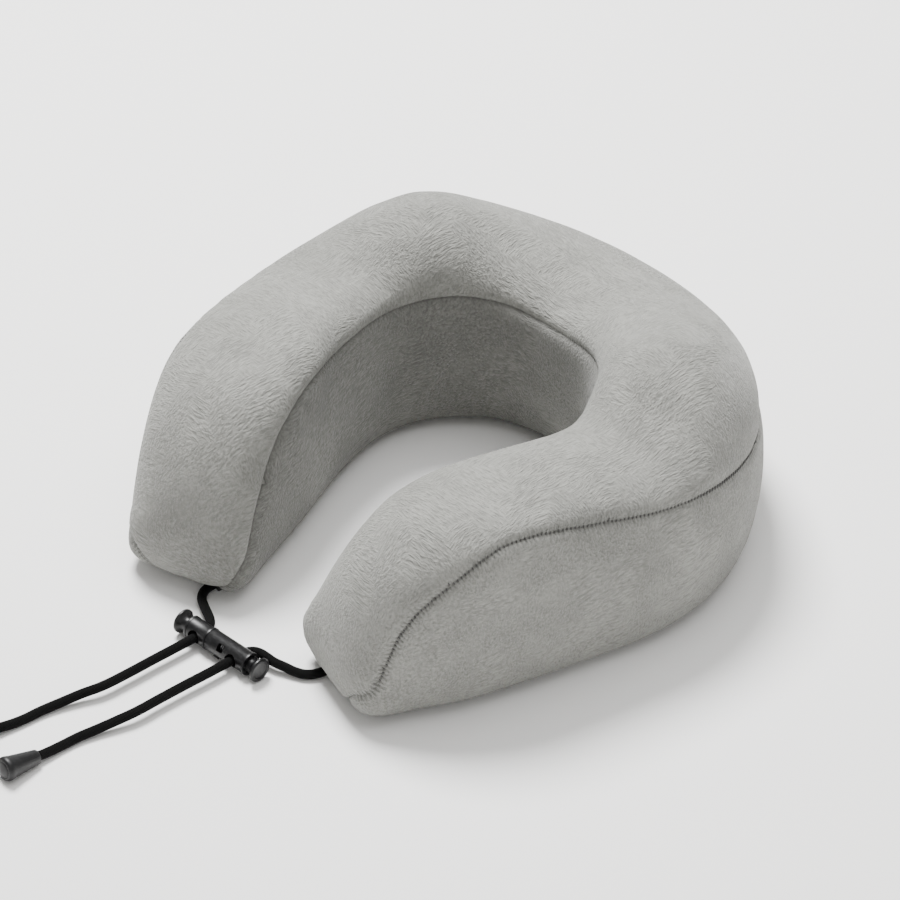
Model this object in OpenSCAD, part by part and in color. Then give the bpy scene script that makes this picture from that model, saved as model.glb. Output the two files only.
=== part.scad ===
// U-shaped memory-foam neck pillow with a drawcord and a two-part push-button cord lock.
// Millimetres. The pillow lies on the floor, +Z up, its opening towards -Y. The origin is under
// the middle of the cushion's box. The cushion is the same on both sides of X = 0.

/* [Plan of the U] */
// Radius of the centreline round the back of the neck
back_r = 98; // [88:1:110]
// Angle that the back arc turns, each side of the middle
back_angle = 66; // [58:1:74]
// Radius of the centreline where each arm bends forwards
bend_r = 72; // [60:1:90]
// Angle that the bend turns
bend_angle = 36; // [28:1:44]
// Radius of the nearly straight arm
arm_r = 590; // [450:10:900]
// Length of the nearly straight arm
arm_length = 138; // [115:1:166]

/* [Cushion section] */
// Thickness added to the whole cushion, over the crest heights below
extra_height = 0; // [-15:1:22]
// Half width on the outer side at the six width stations
outer_half = [37, 37, 35, 32.5, 33, 29];
// Half width on the neck side at the six width stations
inner_half = [37, 34, 35, 34, 37, 35];
// Crest height at the seven crest stations
crest_height = [87, 97, 112, 90, 95, 92, 80];
// Height of the outer seam at the eight outer seam stations
outer_seam = [54, 57, 71, 82, 87.5, 72, 53, 18];
// Height of the inner seam at the seven inner seam stations
inner_seam = [76, 79.5, 78, 80, 70.5, 46.5, 20.5];
// Height of the hem round the arm tips
nose_height = 12.5; // [8:0.5:16]
// Radius of the bottom edges
edge_r = 6; // [3:0.5:9]
// Corner radius of the arm tips in plan, outer side
tip_outer_r = 13; // [9:0.5:20]
// Corner radius of the arm tips in plan, neck side
tip_inner_r = 7; // [4:0.5:14]

/* [Layers] */
// Thickness of the velour cover
cover_t = 2.2; // [1.8:0.1:3]
// Thickness of the knitted liner
liner_t = 0.6; // [0.4:0.1:1]
// Clearance between layers, and between panels along a seam
layer_gap = 0.2; // [0.1:0.05:0.4]

/* [Zip] */
// Half of the angle that the zip spans round the back
zip_angle = 33; // [20:1:35]
// Height of the zip's middle above the floor
zip_height = 17; // [15:0.5:24]
// Width of each tape
tape_w = 6; // [5:0.5:7]
// Length of the pull tab
pull_length = 18; // [12:0.5:24]

/* [Cord lock] */
// Radius of the barrels
barrel_r = 5.2; // [4.8:0.1:6]
// Radius of the push button flanges
flange_r = 5.8; // [5.6:0.1:7]
// Length from flange to flange
lock_length = 50.4; // [48:0.2:56]
// Radius of the bores that the buttons slide in
bore_r = 4; // [3.8:0.05:4.2]
// Radial clearance of the buttons and of the coupling
slide_fit = 0.1; // [0.05:0.01:0.2]
// Travel of each button
button_travel = 2.4; // [1.5:0.1:2.8]
// Clearance round the cord in the cross holes of the barrels
cord_room = 1.2; // [1:0.05:1.3]

/* [Cord] */
// Radius of the braided cord
cord_r = 2.2; // [1.8:0.05:2.3]
// Radius of the bell-shaped cord ends
bell_r = 5.6; // [4.6:0.1:6]
// Length of the bell-shaped cord ends
bell_length = 18.5; // [16:0.5:21]

/* [Hidden] */
$fn = 48;

velour = [0.64, 0.63, 0.6];
velour_dark = [0.52, 0.51, 0.49];
foam_white = [0.93, 0.91, 0.84];
liner_white = [0.86, 0.86, 0.84];
zip_grey = [0.45, 0.45, 0.44];
cord_black = [0.06, 0.06, 0.065];
plastic_black = [0.035, 0.035, 0.04];
steel = [0.72, 0.73, 0.75];

// Stations are fractions of the way from the middle of the back (0) to an arm's tip (1).
width_stations = [0, 0.2, 0.4, 0.6, 0.8, 0.93];
crest_stations = [0, 0.17, 0.34, 0.5, 0.66, 0.82, 1];
outer_seam_stations = [0, 0.25, 0.45, 0.62, 0.75, 0.85, 0.92, 0.97];
inner_seam_stations = [0, 0.3, 0.55, 0.75, 0.85, 0.92, 0.97];
lean_stations = [0, 0.35, 0.65];
outer_lean = [2, 1, -1];
inner_lean = [6, 4, 0.5];
crest_shift = [-2, -6.5, -11];
lean_fade = 0.3;
outer_bulge = 2.5;
inner_bulge = 2;
bulge_fade_height = 60;
nose_share = 0.17;
nose_power = 2.1;
undercut_share = 0.063;
crown_power = 1.08;
tip_skew = 5;
skew_start = 0.75;
seam_share = 0.97;

ring_count = 26;
ring_crowding = 1.6;
solid_end = 0.995;
wall_end = 0.997;
edge_steps = 3;
edge_first = 12;
wall_steps = 4;
crown_steps = 6;
floor_steps = 3;

// Smooth curve through values v at stations k, flat at the middle of the back, with no overshoot
function secant(k, v, i) = (v[i + 1] - v[i]) / (k[i + 1] - k[i]);
function mean_slope(a, b) = a * b <= 0 ? 0 : 2 * a * b / (a + b);
function knot_slope(k, v, i) =
    i == 0 ? 0
    : i == len(k) - 1 ? secant(k, v, i - 1)
    : mean_slope(secant(k, v, i - 1), secant(k, v, i));
function knot_before(k, s, i = 0) = i >= len(k) - 2 || s < k[i + 1] ? i : knot_before(k, s, i + 1);
function hermite(a, b, ma, mb, t) =
    a * (2 * t ^ 3 - 3 * t ^ 2 + 1) + ma * (t ^ 3 - 2 * t ^ 2 + t)
    + b * (3 * t ^ 2 - 2 * t ^ 3) + mb * (t ^ 3 - t ^ 2);
function through(k, v, s) =
    let (i = knot_before(k, s), d = k[i + 1] - k[i], t = min(1, max(0, (s - k[i]) / d)))
    hermite(v[i], v[i + 1], d * knot_slope(k, v, i), d * knot_slope(k, v, i + 1), t);

// Centreline of one half: three tangent arcs. The heading starts along +X and turns towards -Y.
back_length = back_r * back_angle * PI / 180;
bend_length = bend_r * bend_angle * PI / 180;
half_length = back_length + bend_length + arm_length;
function arc_from(p, h, r, a) = p + r * [sin(h + a) - sin(h), cos(h + a) - cos(h)];
bend_start = arc_from([0, 0], 0, back_r, back_angle);
arm_start = arc_from(bend_start, back_angle, bend_r, bend_angle);
function heading(d) =
    d < back_length ? d / back_r * 180 / PI
    : d < back_length + bend_length ? back_angle + (d - back_length) / bend_r * 180 / PI
    : back_angle + bend_angle + (d - back_length - bend_length) / arm_r * 180 / PI;
function centre(d) =
    d < back_length ? arc_from([0, 0], 0, back_r, heading(d))
    : d < back_length + bend_length ? arc_from(bend_start, back_angle, bend_r, heading(d) - back_angle)
    : arc_from(arm_start, back_angle + bend_angle, arm_r, heading(d) - back_angle - bend_angle);

// Cross-section at station s of the layer that lies c inside the cover's surface
function layer_length(c) = half_length - c;
function corner_cut(r, from_tip) = r * (1 - sqrt(max(0, 1 - (1 - min(1, from_tip / r)) ^ 2)));
function half_width(v, r, s, c) =
    through(width_stations, v, min(s, 0.93)) - c - corner_cut(max(1, r - c), (1 - s) * layer_length(c));
function outer_w(s, c) = half_width(outer_half, tip_outer_r, s, c);
function inner_w(s, c) = half_width(inner_half, tip_inner_r, s, c);
function lean(v, s) = through(lean_stations, v, min(s, 0.65)) * min(1, (1 - s) / lean_fade);
function nose_reach(s) = max(0, (s - 1 + nose_share) / nose_share);
function nose_rise(s) = (1 - nose_reach(s) ^ nose_power) ^ (1 / nose_power);
function crest_z(s, c) =
    nose_height
    + (through(crest_stations, crest_height, s) + extra_height - c - nose_height) * nose_rise(s);
function undercut_reach(s) = max(0, (s - 1 + undercut_share) / undercut_share);
function under_z(s, c) = c + (nose_height - c) * (1 - sqrt(max(0, 1 - undercut_reach(s) ^ 2)));
function seam_z(k, v, s, c) =
    let (wanted = through(k, v, s) + extra_height * min(1, (1 - s) / lean_fade))
    max(under_z(s, c), min(wanted, crest_z(s, c) * seam_share));
function outer_seam_z(s, c) = seam_z(outer_seam_stations, outer_seam, s, c);
function inner_seam_z(s, c) = seam_z(inner_seam_stations, inner_seam, s, c);

// A wall's points [distance from the centreline, height], from the bottom edge up to the seam
function bottom_r(low, high) = min(edge_r, 0.4 * (high - low));
function wall_points(w, leaning, bulge, low, high, g) =
    let (
        r = bottom_r(low, high),
        fill = min(1, (high - low) / bulge_fade_height),
        rise = max(0, high - low - r - g)
    ) concat(
        [for (i = [0:edge_steps - 1])
            let (a = i == 0 ? edge_first : 90 * i / edge_steps) [w - r + r * sin(a), low + r - r * cos(a)]],
        [for (i = [0:wall_steps])
            let (b = i / wall_steps) [w + b * leaning + bulge * fill * sin(180 * b), low + r + b * rise]]
    );
function outer_wall(s, c, g) =
    wall_points(outer_w(s, c), lean(outer_lean, s), outer_bulge, under_z(s, c), outer_seam_z(s, c), g);
function inner_wall(s, c, g) =
    wall_points(inner_w(s, c), lean(inner_lean, s), inner_bulge, under_z(s, c), inner_seam_z(s, c), g);

// The crown's points across the top, from the outer seam over the crest to the inner seam
function crown_point(mid, side, seam, top, a) =
    [mid + (side - mid) * sin(a) ^ crown_power, seam + (top - seam) * cos(a) ^ crown_power];
function crown(s, c, g) =
    let (
        mid = lean(crest_shift, s),
        outer = outer_w(s, c) + lean(outer_lean, s),
        inner = -inner_w(s, c) - lean(inner_lean, s),
        top = crest_z(s, c) + g,
        step = 90 / crown_steps
    ) concat(
        [for (i = [crown_steps:-1:1]) crown_point(mid, outer, outer_seam_z(s, c) + g, top, i * step)],
        [for (i = [0:crown_steps]) crown_point(mid, inner, inner_seam_z(s, c) + g, top, i * step)]
    );

// The underside's points, from the neck side to the outer side; g lowers only the rising nose
function underside(s, c, g) =
    let (
        low = under_z(s, c),
        from = -inner_w(s, c) + bottom_r(low, inner_seam_z(s, c)),
        to = outer_w(s, c) - bottom_r(low, outer_seam_z(s, c))
    ) [for (i = [0:floor_steps]) [from + (to - from) * i / floor_steps, low - g * undercut_reach(s)]];

function inside(points) = [for (i = [1:len(points) - 2]) points[i]];
function reversed(points) = [for (i = [len(points) - 1:-1:0]) points[i]];
function neck_side(points) = [for (p = reversed(points)) [-p[0], p[1]]];
function whole_section(s, c) =
    concat(outer_wall(s, c, 0), inside(crown(s, c, 0)), neck_side(inner_wall(s, c, 0)), underside(s, c, 0));

// Signed stations of the rings, negative on the left arm and closer together towards the tips
function ring_stations(end) =
    [for (i = [-ring_count:ring_count]) sign(i) * end * (1 - (1 - abs(i) / ring_count) ^ ring_crowding)];

// Places a section point at a signed station
function on_right(s, c, p) =
    let (
        d = s * layer_length(c),
        h = heading(d),
        m = centre(d),
        skew = -tip_skew * max(0, (s - skew_start) / (1 - skew_start)) ^ 2 * p[0] / outer_half[0]
    ) [m[0] + p[0] * sin(h) + skew * cos(h), m[1] + p[0] * cos(h) - skew * sin(h), p[1]];
tip_stations = [for (s = ring_stations(1)) if (s > 1 - nose_share) s];
front_y = min([for (s = tip_stations) on_right(s, 0, [outer_w(s, 0) + lean(outer_lean, s), 0])[1]]);
back_y = max([for (p = concat(outer_wall(0, 0, 0), crown(0, 0, 0))) p[0]]);
middle_y = (front_y + back_y) / 2;
function placed(t, c, p) =
    let (q = on_right(abs(t), c, p)) [t < 0 ? -q[0] : q[0], q[1] - middle_y, q[2]];

// Solids swept from ring to ring. A ring is a closed loop of points in order. From point `turn` on,
// where a panel's ring runs back along its inner side, the faces are split the other way, so that
// layers and seam edges that face each other have the same facets.
function flat(lists) = [for (list = lists) for (item = list) item];
function side_faces(rings, count, turn) =
    [for (i = [0:rings - 2]) for (j = [0:count - 1])
        let (k = (j + 1) % count, a = i * count, b = a + count)
        each j < turn
            ? [[a + j, b + j, b + k], [a + j, b + k, a + k]]
            : [[a + j, b + j, a + k], [b + j, b + k, a + k]]];
module swept(rings, cap, turn) {
    count = len(rings[0]);
    last = (len(rings) - 1) * count;
    end_cap = [for (f = cap) [for (v = reversed(f)) v + last]];
    polyhedron(points = flat(rings), faces = concat(side_faces(len(rings), count, turn), cap, end_cap));
}
module full_sweep(rings) swept(rings, [[for (i = [0:len(rings[0]) - 1]) i]], len(rings[0]));

// The whole cushion's shape, c inside the cover's surface
module cushion(c)
    full_sweep([for (t = ring_stations(solid_end)) [for (p = whole_section(abs(t), c)) placed(t, c, p)]]);

// One panel of the cover: each ring has its outer points, then its inner points back again
module panel(points_at, end) {
    rings = [for (t = ring_stations(end))
        concat(
            [for (p = points_at(abs(t), 0)) placed(t, 0, p)],
            [for (p = reversed(points_at(abs(t), cover_t))) placed(t, cover_t, p)]
        )];
    across = len(rings[0]) / 2;
    swept(rings, [for (j = [0:across - 2])
        let (k = 2 * across - 1 - j) each [[j, j + 1, k - 1], [j, k - 1, k]]], across);
}

seam_gap = layer_gap / 2;
liner_c = cover_t + layer_gap;
foam_c = liner_c + liner_t + layer_gap;

module foam_core() color(foam_white) cushion(foam_c);

// Knitted sock round the foam, with the slit in its underside that the foam went in through
liner_slit = [110, 0.5];
module inner_liner()
    color(liner_white) difference() {
        cushion(liner_c);
        cushion(liner_c + liner_t);
        translate([-liner_slit[0] / 2, -middle_y, 0]) cube([liner_slit[0], liner_slit[1], foam_c]);
    }

module top_panel() color(velour) panel(function (s, c) crown(s, c, seam_gap), 1);
module inner_wall_panel()
    color(velour_dark) panel(function (s, c) neck_side(inner_wall(s, c, seam_gap)), wall_end);
module bottom_panel() color(velour_dark) panel(function (s, c) underside(s, c, seam_gap), 1);
module outer_wall_panel()
    color(velour) difference() {
        panel(function (s, c) outer_wall(s, c, seam_gap), wall_end);
        zip_window();
    }

// Zip, on the circle round the back. Its cross-section has x outwards from the cover's surface
// and y up along the tapes, and leans with the wall.
zip_slot = 1;
zip_half = zip_slot / 2 + tape_w;
zip_centre = [0, -back_r - middle_y];
tape_t = 0.5;
tape_depth = 0.5;
coil_r = 0.9;
coil_mid = zip_slot / 2 + coil_r;
wall_profile = [for (p = outer_wall(0, 0, 0)) [p[1], p[0]]];
function wall_reach(z) = back_r + lookup(z, wall_profile);
zip_lean = atan((wall_reach(zip_height + zip_half) - wall_reach(zip_height - zip_half)) / (2 * zip_half));
track_r = wall_reach(zip_height);
stop_angle = zip_angle - 2;
stop_span = 1;
slider_span = 3.8;
slider_angle = stop_angle - 2.6;

module on_arc(from, to)
    translate([zip_centre[0], zip_centre[1], 0]) rotate([0, 0, 90 - to])
        rotate_extrude(angle = to - from) translate([track_r, zip_height]) rotate(-zip_lean) children();
module strip(x0, x1, y0, y1) translate([x0, y0]) square([x1 - x0, y1 - y0]);
module both_sides() {
    children();
    mirror([0, 1]) children();
}

module zip_window() {
    spread = zip_angle + layer_gap / track_r * 180 / PI;
    high = zip_half + layer_gap;
    on_arc(-spread, spread) strip(-2 * cover_t, 2 * cover_t, -high, high);
}
module tape_profile() strip(-tape_depth - tape_t, -tape_depth, zip_slot / 2, zip_half);
module coil_profile()
    intersection() {
        translate([-tape_depth, coil_mid]) circle(coil_r);
        strip(-tape_depth, coil_r, 0, 2 * coil_mid);
    }
module zip_tape_upper() color(zip_grey) on_arc(-zip_angle, zip_angle) tape_profile();
module zip_tape_lower() color(zip_grey) on_arc(-zip_angle, zip_angle) mirror([0, 1]) tape_profile();
module zip_coil_upper() color(zip_grey) on_arc(-stop_angle, stop_angle) coil_profile();
module zip_coil_lower() color(zip_grey) on_arc(-stop_angle, stop_angle) mirror([0, 1]) coil_profile();
module zip_stop(from)
    color(steel) on_arc(from, from + stop_span) strip(-tape_depth, coil_r, -2 * coil_mid, 2 * coil_mid);
module zip_top_stop() zip_stop(stop_angle);
module zip_bottom_stop() zip_stop(-stop_angle - stop_span);

// Slider: a plate over the coils with turned-down sides, a plate under the tapes, a post between
// them in the slot, and two lugs with the pin that the pull tab turns on
plate_x = 0.6;
plate_t = 0.8;
plate_half = 3.4;
side_from = 2.6;
side_x = -0.2;
under_x = [-1.9, -1.3];
under_half = 2.6;
post_half = 0.3;
post_span = 0.9;
lug_y = [1.5, 2.2];
lug_r = 0.9;
pin_x = 2.6;
pin_r = 0.45;
eye_half = lug_y[0] - 0.2;
pull_half = 3;
pull_t = 1.1;
pull_neck = 4;
pull_hole_r = 1.4;
module on_slider()
    translate([zip_centre[0], zip_centre[1], zip_height]) rotate([0, 0, -slider_angle])
        translate([0, track_r, 0]) rotate([-zip_lean, 0, 0]) children();
module across_zip(r, from, to) translate([0, pin_x, from]) cylinder(r = r, h = to - from);
module slider_lug(from, to) {
    root = plate_x + plate_t / 2;
    across_zip(lug_r, from, to);
    translate([-lug_r, root, from]) cube([2 * lug_r, pin_x - root, to - from]);
}
module zip_slider()
    color(steel) {
        on_arc(slider_angle - slider_span / 2, slider_angle + slider_span / 2) {
            strip(plate_x, plate_x + plate_t, -plate_half, plate_half);
            both_sides() strip(side_x, plate_x + plate_t / 2, side_from, plate_half);
            strip(under_x[0], under_x[1], -under_half, under_half);
        }
        on_arc(slider_angle - post_span / 2, slider_angle + post_span / 2)
            strip((under_x[0] + under_x[1]) / 2, plate_x + plate_t / 2, -post_half, post_half);
        on_slider() {
            slider_lug(lug_y[0], lug_y[1]);
            slider_lug(-lug_y[1], -lug_y[0]);
            across_zip(pin_r, -lug_y[0] - 0.1, lug_y[0] + 0.1);
        }
    }
module pull_bar(from, half)
    translate([-pull_length, pin_x - pull_t / 2, -half]) cube([pull_length - from, pull_t, 2 * half]);
module zip_pull()
    color(steel) on_slider() difference() {
        union() {
            across_zip(lug_r, -eye_half, eye_half);
            pull_bar(0, eye_half);
            pull_bar(pull_neck, pull_half);
        }
        across_zip(pin_r + slide_fit, -pull_half, pull_half);
        translate([-pull_length + pull_half, 0, 0]) rotate([-90, 0, 0]) cylinder(r = pull_hole_r, h = 2 * pin_x);
    }

// The cords and what is on them keep their place against the arm tips' front edge
rest_front = -139.25;
module by_the_tips() translate([0, front_y - middle_y - rest_front, 0]) children();

// Stitched anchors of the cords, in the hem under each arm's tip; y is where the cord starts
anchor_inset = 10.53;
anchor = [on_right(1, 0, [0, 0, 0])[0] - anchor_inset, -118, 2.9];
bartack_size = [7, 4, 4.6];
bartack_turn = 16;
module bartack(side)
    color(cord_black) by_the_tips() translate([side * anchor[0], anchor[1], anchor[2]])
        rotate([0, 0, side * bartack_turn]) translate([-bartack_size[0] / 2, 0, -bartack_size[2] / 2])
            cube(bartack_size);
module bartack_left() bartack(-1);
module bartack_right() bartack(1);

// Cord lock, built along X about its own middle and then set down between the arm tips
lock_place = [-2.8, -147.2, flange_r + 0.05];
lock_turn = 2;
joint_x = -6;
button_room = 6.4;
barrel_end = lock_length / 2 - button_room;
left_hole = -12.7;
right_hole = 10.8;
web = 4;
rim_r = barrel_r + 0.25;
rim_t = 1.2;
spigot_end = -0.9;
socket_end = -0.3;
chamber_start = 1;
spring_bore_r = 2.7;
spring_floor = -1.7;
chamber_spare = 0.2;
neck_r = 3.4;
bead_r = bore_r - 0.04;
bead_x = [joint_x + 2, joint_x + 2.8];
button_r = bore_r - slide_fit;
cross_hole_r = cord_r + cord_room;
button_slot_r = cross_hole_r - 0.2;
flange_t = 1.7;
flare = 2.2;
dish_r = 3.8;
dish_depth = 0.6;
window_x = [1.9, 5.4];
window_half = 1.9;
lug = [2.4, 1.4, 1.8];
lug_x = 0.2;
lug_roll = 35;
window_roll = -35;
module in_lock() by_the_tips() translate(lock_place) rotate([0, 0, lock_turn]) children();
module rod(r, from, to) translate([from, 0, 0]) rotate([0, 90, 0]) cylinder(r = r, h = to - from);
module cross_hole(r, x) translate([x, 0, 0]) rotate([90, 0, 0]) cylinder(r = r, h = 4 * barrel_r, center = true);
module rim(from) rod(rim_r, from, from + rim_t);
module turned(points) rotate([0, 90, 0]) rotate_extrude() polygon([for (p = points) [p[1], p[0]]]);

module barrel_left()
    color(plastic_black) in_lock() difference() {
        union() {
            rod(barrel_r, -barrel_end, joint_x);
            rod(bore_r - slide_fit, joint_x - 1, spigot_end);
            rod(bead_r, bead_x[0], bead_x[1]);
            rim(-barrel_end);
            rim(joint_x - rim_t);
        }
        rod(bore_r, -barrel_end - 1, left_hole + web + button_travel + chamber_spare);
        rod(spring_bore_r, left_hole, spring_floor);
        cross_hole(cross_hole_r, left_hole);
    }
module barrel_right()
    color(plastic_black) in_lock() difference() {
        union() {
            rod(barrel_r, joint_x + slide_fit, barrel_end);
            rim(barrel_end - rim_t);
            rotate([lug_roll, 0, 0]) translate([lug_x, -barrel_r - lug[1] / 2, -lug[2] / 2]) cube(lug);
        }
        rod(bore_r, joint_x - 1, socket_end);
        rod(bore_r, chamber_start, barrel_end + 1);
        cross_hole(cross_hole_r, right_hole);
        rotate([window_roll, 0, 0]) translate([window_x[0], -2 * barrel_r, -window_half])
            cube([window_x[1] - window_x[0], 2 * barrel_r, 2 * window_half]);
    }

// A push button: plunger with an oval cross hole, neck, and trumpet flange with a dished face
module button(hole) {
    face = lock_length / 2;
    back = face - flange_t;
    difference() {
        union() {
            rod(button_r, hole - web, barrel_end - 0.4);
            rod(neck_r, barrel_end - 1, back);
            turned([
                [back - flare, 0], [back - flare, neck_r], [back - flare / 2, neck_r + 0.5],
                [back, flange_r - 0.4], [back + 0.4, flange_r], [face - 0.5, flange_r],
                [face, flange_r - 0.5], [face, dish_r + 0.5], [face - dish_depth, dish_r],
                [face - dish_depth, 0]
            ]);
        }
        cross_hole(button_slot_r, hole);
        cross_hole(button_slot_r, hole + button_travel);
        translate([hole, -2 * barrel_r, -button_slot_r]) cube([button_travel, 4 * barrel_r, 2 * button_slot_r]);
    }
}
module button_left() color(plastic_black) in_lock() mirror([1, 0, 0]) button(-left_hole);
module button_right() color(plastic_black) in_lock() button(right_hole);

// Springs between each button and the end of its chamber
wire_r = 0.3;
spring_r = 2.1;
spring_turns = 5;
spring_sides = 6;
spring_steps = 12;
spring_seat = 0.05;
module spring(from, to) {
    start = from + wire_r + spring_seat;
    count = spring_turns * spring_steps;
    pitch = (to - from - 2 * (wire_r + spring_seat)) / count;
    full_sweep([for (i = [0:count])
        [for (k = [0:spring_sides - 1])
            let (a = -360 * k / spring_sides, turn = 360 * i / spring_steps, r = spring_r + wire_r * cos(a))
            [start + pitch * i + wire_r * sin(a), r * cos(turn), r * sin(turn)]]]);
}
module spring_left() color(steel) in_lock() spring(left_hole + web, spring_floor);
module spring_right() color(steel) in_lock() spring(chamber_start, right_hole - web);

// Cord routes: straight through the lock and along the way it slides, then down to the floor
left_route = [
    [-39.5, -118, 2.9], [-39.7, -122, 2.6], [-38.4, -126, 2.6], [-35.7, -129.3, 3],
    [-31.5, -132.1, 3.8], [-27, -134.6, 4.5], [-22.5, -136.9, 5], [-18.6, -139.4, 5.3],
    [-16.1, -142.6, 5.35], [-15.4, -146.5, 5.35], [-15.4, -150.5, 5.35], [-15.9, -160.5, 5.35],
    [-16.9, -175.5, 5.35], [-17.8, -190.5, 5.35], [-19.2, -203.5, 5.3], [-22.4, -212.5, 4.4],
    [-25.4, -221.5, 3.1], [-27.9, -231.5, 2.4], [-29.2, -241.5, 2.3], [-31, -250.5, 2.9],
    [-32.6, -257, 3.8], [-34.1, -263.2, 4.75]
];
right_lead_route = [
    [39.5, -118, 2.9], [39.2, -122.5, 2.6], [37.9, -127, 2.5], [35.3, -130.6, 2.5],
    [31, -133.2, 2.8], [25.9, -135, 3.6], [20.8, -136.9, 4.5], [16.4, -137.4, 5.1],
    [12.4, -137.9, 5.3], [9.4, -139.6, 5.35], [8, -142.6, 5.35], [7.9, -146.8, 5.35]
];
right_tail_route = [
    [7.85, -147.3, 5.35], [7.6, -151, 5.35], [7, -161.5, 5.35], [5.8, -176.5, 5.35],
    [4.9, -190.5, 5.35], [4, -204.5, 5.3], [1.7, -213.5, 4.3], [-1, -222.5, 3.1],
    [-3.2, -231, 2.5], [-4.2, -240, 2.4], [-4.7, -247.8, 2.9], [-5.2, -254.9, 3.8],
    [-5.7, -262, 4.8]
];
cord_sides = 10;
function catmull(a, b, c, d, t) =
    0.5 * (2 * b + (c - a) * t + (2 * a - 5 * b + 4 * c - d) * t ^ 2 + (3 * b - a - 3 * c + d) * t ^ 3);
function route_at(r, i) = i < 0 ? 2 * r[0] - r[1] : i >= len(r) ? 2 * r[len(r) - 1] - r[len(r) - 2] : r[i];
function rounded(r) = concat(
    [for (i = [0:len(r) - 2]) for (t = [0, 0.5])
        catmull(route_at(r, i - 1), r[i], r[i + 1], route_at(r, i + 2), t)],
    [r[len(r) - 1]]
);
function unit(v) = v / norm(v);
function cord_ring(p, way) =
    let (side = unit(cross(way, [0, 0, 1])), up = cross(side, way))
    [for (k = [0:cord_sides - 1])
        let (a = -360 * k / cord_sides) p + cord_r * (cos(a) * side + sin(a) * up)];
module cord(route) {
    points = rounded(route);
    color(cord_black) by_the_tips() full_sweep([for (i = [0:len(points) - 1])
        cord_ring(points[i], unit(route_at(points, i + 1) - route_at(points, i - 1)))]);
}
module cord_left() cord(left_route);
module cord_right_lead() cord(right_lead_route);
module cord_right_tail() cord(right_tail_route);

// What is on a cord's end, built along X with the cord's end face at 0
module at_end(route) {
    end = route[len(route) - 1];
    way = end - route[len(route) - 2];
    by_the_tips() translate(end) rotate([0, -asin(way[2] / norm(way)), atan2(way[1], way[0])]) children();
}
neck_length = 9;
bell_end = bell_length - neck_length;
bell_neck_r = cord_r + 1.15;
bell_bore_r = cord_r + 0.15;
bell_wall = 1.8;
knot_r = bell_r - bell_wall;
cavity_r = knot_r + 0.1;
cavity_start = -0.6;
cap_t = 1.8;
cap_dome = 0.8;
module bell()
    color(plastic_black) difference() {
        turned([
            [-neck_length, 0], [-neck_length, bell_neck_r - 0.4], [-neck_length + 0.5, bell_neck_r],
            [bell_end - 4.5, bell_r - 0.5], [bell_end - 2.8, bell_r - 0.1], [bell_end - 1.8, bell_r],
            [bell_end - 1, bell_r - 0.15], [bell_end - 0.3, bell_r - 0.6], [bell_end, bell_r - 1.2],
            [bell_end, 0]
        ]);
        rod(bell_bore_r, -neck_length - 1, 1);
        rod(cavity_r, cavity_start, bell_end + 1);
    }
module bell_cap()
    color(plastic_black) turned([
        [bell_end - cap_t, 0], [bell_end - cap_t, knot_r], [bell_end, knot_r],
        [bell_end + cap_dome / 2, knot_r - 1], [bell_end + cap_dome, 0]
    ]);
module knot() {
    end = bell_end - cap_t - layer_gap;
    color(cord_black) turned([
        [0, 0], [0, cord_r - 0.8], [1.2, knot_r - 0.6], [2.4, knot_r], [end - 1.8, knot_r],
        [end - 0.6, knot_r - 0.6], [end, cord_r - 0.8], [end, 0]
    ]);
}
module bell_left() at_end(left_route) bell();
module bell_right() at_end(right_tail_route) bell();
module bell_cap_left() at_end(left_route) bell_cap();
module bell_cap_right() at_end(right_tail_route) bell_cap();
module knot_left() at_end(left_route) knot();
module knot_right() at_end(right_tail_route) knot();

foam_core();
inner_liner();
top_panel();
outer_wall_panel();
inner_wall_panel();
bottom_panel();
bartack_left();
bartack_right();
zip_tape_upper();
zip_tape_lower();
zip_coil_upper();
zip_coil_lower();
zip_top_stop();
zip_bottom_stop();
zip_slider();
zip_pull();
cord_left();
cord_right_lead();
cord_right_tail();
bell_left();
bell_right();
bell_cap_left();
bell_cap_right();
knot_left();
knot_right();
barrel_left();
barrel_right();
button_left();
button_right();
spring_left();
spring_right();
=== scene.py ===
"""Looks of a U-shaped neck pillow: a velour cover over foam, drawcords and a two-part cord lock."""

import math

import bmesh
import bpy
import numpy as np
from mathutils import Matrix, Vector, noise
from mathutils.bvhtree import BVHTree


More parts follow.
